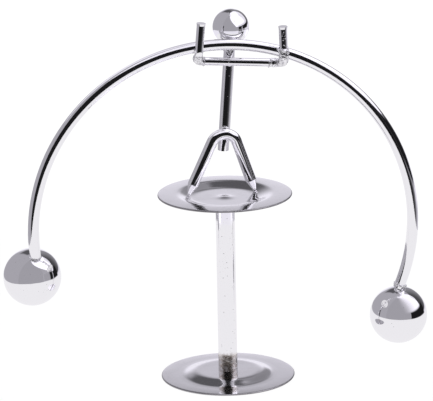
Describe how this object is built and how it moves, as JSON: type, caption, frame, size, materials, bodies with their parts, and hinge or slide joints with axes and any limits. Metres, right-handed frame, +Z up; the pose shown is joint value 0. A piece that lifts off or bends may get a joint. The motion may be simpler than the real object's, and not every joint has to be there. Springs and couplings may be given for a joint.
{
  "type": "balancing figure desk toy",
  "caption": "Chrome balancing figure on a dished stand: two pointed feet rock in the dish while a bowed bar with a heavy ball at each end keeps it upright.",
  "frame": {"origin": "on the stand's axis at the level the base plate's rim rests on, the centre of the footprint", "axes": "+Z up along the pole, +X to the figure's left-to-right along the barbell as seen from the front, +Y to the figure's back; the figure's barbell is yawed 5.3 degrees and its foot line 14.2 degrees from +X about +Z"},
  "size_m": [0.1523, 0.048, 0.1337],
  "materials": {
    "pressed_sheet": "bright chrome plate on pressed steel sheet, slightly satin",
    "stand_rod": "bright chrome plate on drawn rod, faintly pitted near the foot",
    "figure_rod": "mirror chrome plate on bent steel rod",
    "polished_ball": "mirror chrome plate on polished steel ball",
    "weld_metal": "chrome plate over a rough weld bead with spatter"
  },
  "bodies": {
    "stand": {"base_plate": "pressed_sheet", "pole": "stand_rod", "top_plate": "pressed_sheet"},
    "figure": {"leg_frame": "figure_rod", "spine_rod": "figure_rod", "head_ball": "polished_ball", "arm_frame": "figure_rod", "barbell_rod": "figure_rod", "left_ball": "polished_ball", "right_ball": "polished_ball", "hand_welds": "weld_metal", "spine_welds": "weld_metal"}
  },
  "joints": [
    {"name": "figure_rock", "type": "hinge", "parent": "stand", "child": "figure", "pos_m": [-0.0011, 0.00436, 0.06759], "axis": [0.9694, 0.2453, 0], "range_deg": [-40, 40]}
  ]
}
